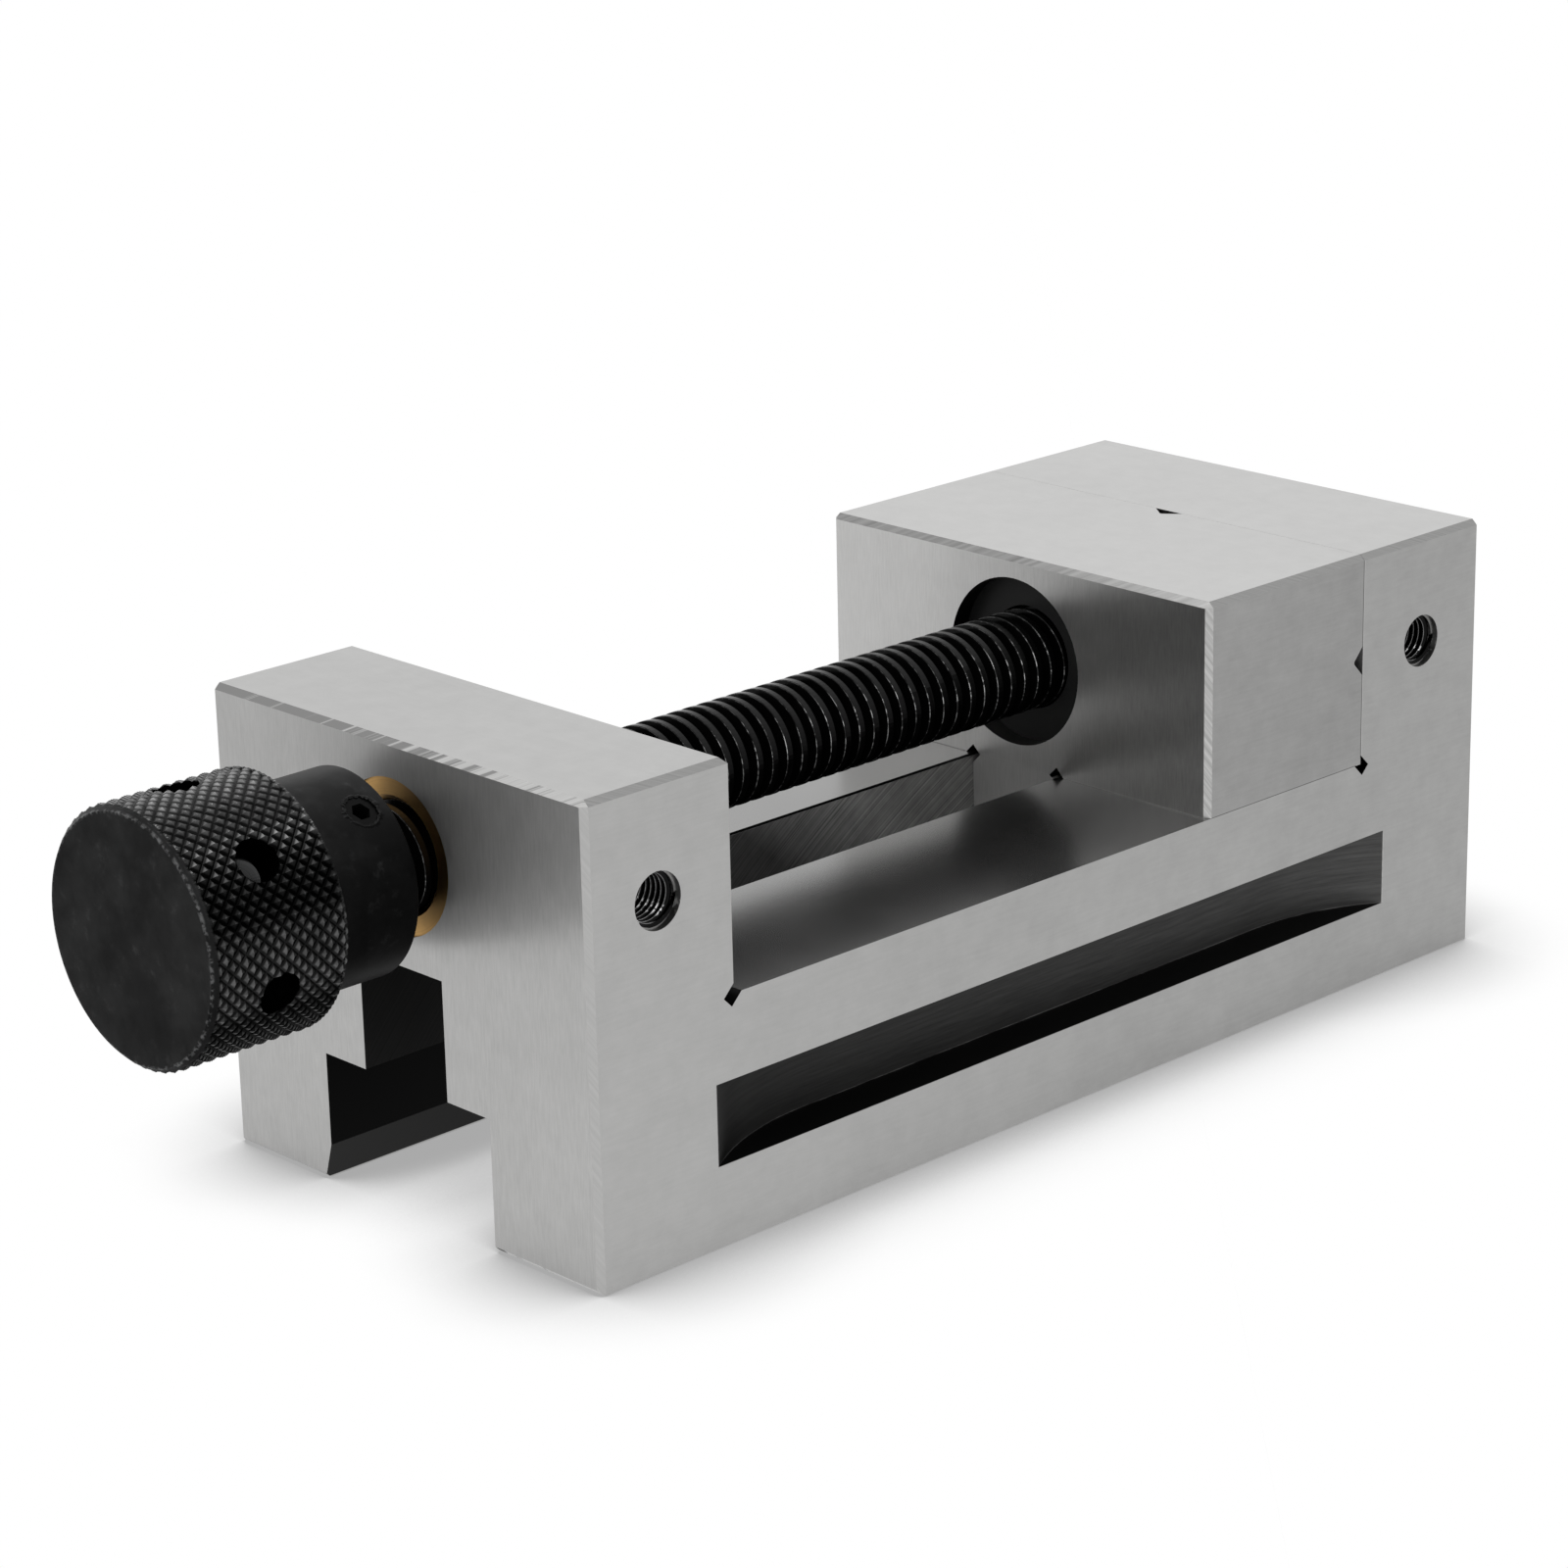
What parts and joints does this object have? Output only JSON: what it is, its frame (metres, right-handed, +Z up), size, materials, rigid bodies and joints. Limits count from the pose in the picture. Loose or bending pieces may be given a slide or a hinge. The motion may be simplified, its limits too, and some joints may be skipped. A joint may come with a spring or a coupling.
{
  "type": "precision screw vise",
  "caption": "Ground steel toolroom vise with a screw-driven sliding jaw, knurled knob, side clamp pockets and V-grooved jaw.",
  "frame": {"origin": "on the underside, in the middle of the width, below the face of the fixed jaw", "axes": "+X from the knob towards the fixed jaw along the bed, +Z up, square to the underside"},
  "size_m": [0.2353, 0.08, 0.0725],
  "materials": {
    "ground_steel": "fine ground steel",
    "black_steel": "black oxide, oiled",
    "bronze": "turned bronze",
    "fastener_steel": "black oxide fastener"
  },
  "bodies": {
    "base": {"vise_body": "ground_steel", "screw_nut": "bronze"},
    "jaw": {"movable_jaw": "ground_steel", "keeper_plate": "ground_steel", "keeper_screw_front": "fastener_steel", "keeper_screw_rear": "fastener_steel", "retaining_ring": "black_steel", "thrust_washer": "bronze"},
    "screw": {"lead_screw": "black_steel", "knob": "black_steel", "knob_set_screw": "fastener_steel"}
  },
  "joints": [
    {"name": "jaw_slide", "type": "slide", "parent": "base", "child": "jaw", "axis": [-1, 0, 0], "range_m": [0, 0.0987]},
    {"name": "screw_turn", "type": "hinge", "parent": "jaw", "child": "screw", "pos_m": [-0.0165, 0, 0.054], "axis": [-1, 0, 0], "range_deg": [0, 11850]}
  ],
  "couplings": [
    {"joint": "screw_turn", "follows": "jaw_slide", "rad_per_m": 2094.4}
  ]
}
